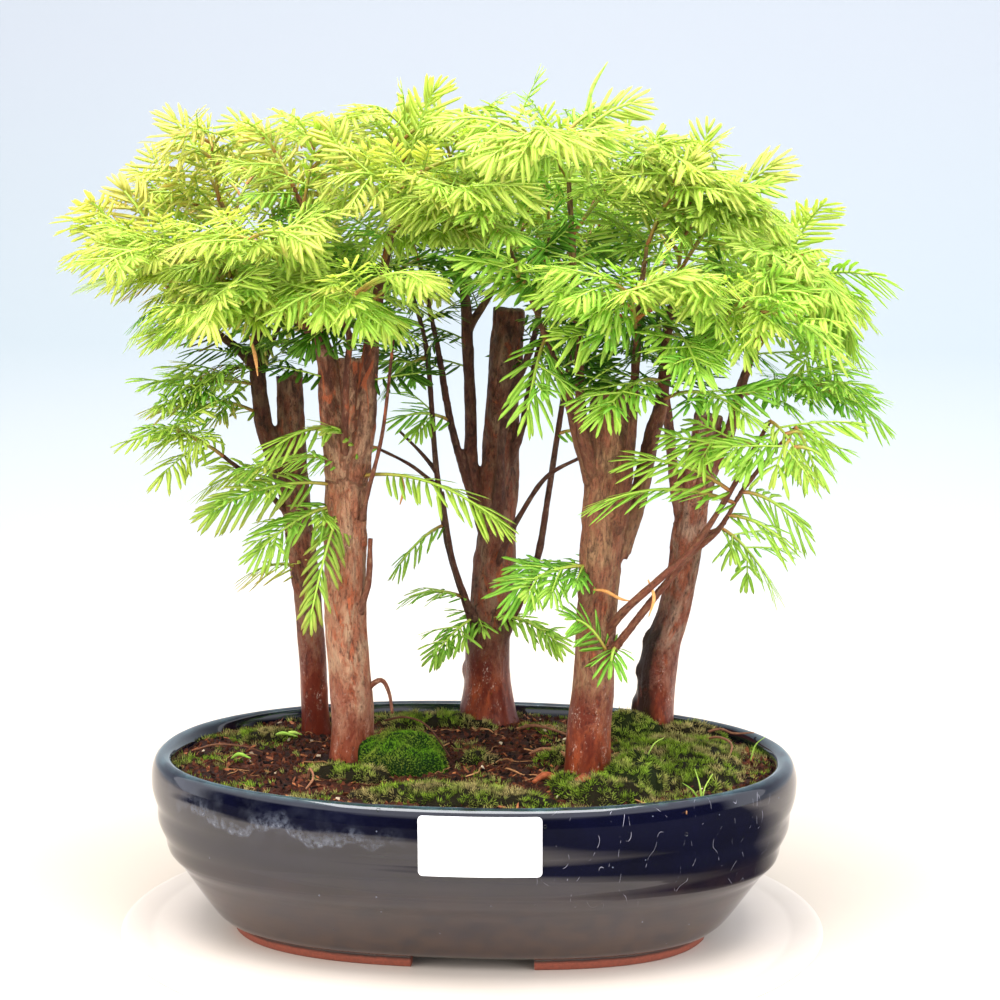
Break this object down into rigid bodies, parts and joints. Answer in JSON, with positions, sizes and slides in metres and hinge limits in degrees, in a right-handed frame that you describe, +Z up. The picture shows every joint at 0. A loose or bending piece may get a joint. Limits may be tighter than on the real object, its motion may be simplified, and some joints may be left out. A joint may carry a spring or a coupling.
{
  "type": "bonsai forest",
  "caption": "Forest bonsai of dawn redwoods with cut trunks and soft feathery sprays, over moss and soil in an oval glazed pot.",
  "frame": {"origin": "centre of the oval pot on the surface that it stands on", "axes": "+Z up along the trunks, +X to the right along the pot's long side, +Y to the back across the pot"},
  "size_m": [0.3425, 0.2362, 0.3524],
  "materials": {
    "navy_glaze": "glossy blue-black glaze on stoneware",
    "drain_mesh": "plastic mesh",
    "potting_soil": "dark crumbly potting mix",
    "white_paper": "plain label paper",
    "green_moss": "low cushion moss",
    "reddish_bark": "fissured red-brown bark",
    "soft_needles": "soft flat needles, yellow-green"
  },
  "bodies": {
    "root": {"pot": "navy_glaze", "drain_screen_left": "drain_mesh", "drain_screen_right": "drain_mesh", "soil": "potting_soil", "label": "white_paper", "moss_back": "green_moss", "moss_dome": "green_moss", "moss_front": "green_moss", "moss_right": "green_moss", "moss_trunk": "green_moss", "centre_rear_wood": "reddish_bark", "left_front_wood": "reddish_bark", "left_rear_wood": "reddish_bark", "right_front_wood": "reddish_bark", "right_rear_wood": "reddish_bark", "centre_rear_shoot_01": "soft_needles", "centre_rear_shoot_02": "soft_needles", "centre_rear_shoot_03": "soft_needles", "centre_rear_shoot_04": "soft_needles", "centre_rear_shoot_05": "soft_needles", "centre_rear_shoot_06": "soft_needles", "centre_rear_shoot_07": "soft_needles", "centre_rear_shoot_08": "soft_needles", "centre_rear_shoot_09": "soft_needles", "left_front_shoot_01": "soft_needles", "left_front_shoot_02": "soft_needles", "left_front_shoot_03": "soft_needles", "left_front_shoot_04": "soft_needles", "left_front_shoot_05": "soft_needles", "left_front_shoot_06": "soft_needles", "left_front_shoot_07": "soft_needles", "left_front_shoot_08": "soft_needles", "left_front_shoot_09": "soft_needles", "left_rear_shoot_01": "soft_needles", "left_rear_shoot_02": "soft_needles", "left_rear_shoot_03": "soft_needles", "left_rear_shoot_04": "soft_needles", "left_rear_shoot_05": "soft_needles", "left_rear_shoot_06": "soft_needles", "left_rear_shoot_07": "soft_needles", "left_rear_shoot_08": "soft_needles", "right_front_shoot_01": "soft_needles", "right_front_shoot_02": "soft_needles", "right_front_shoot_03": "soft_needles", "right_front_shoot_04": "soft_needles", "right_front_shoot_05": "soft_needles", "right_front_shoot_06": "soft_needles", "right_front_shoot_07": "soft_needles", "right_front_shoot_08": "soft_needles", "right_front_shoot_09": "soft_needles", "right_front_shoot_10": "soft_needles", "right_front_shoot_11": "soft_needles", "right_front_shoot_12": "soft_needles", "right_front_shoot_13": "soft_needles", "right_rear_shoot_01": "soft_needles", "right_rear_shoot_02": "soft_needles", "right_rear_shoot_03": "soft_needles", "right_rear_shoot_04": "soft_needles", "right_rear_shoot_05": "soft_needles", "right_rear_shoot_06": "soft_needles"}
  },
  "joints": []
}
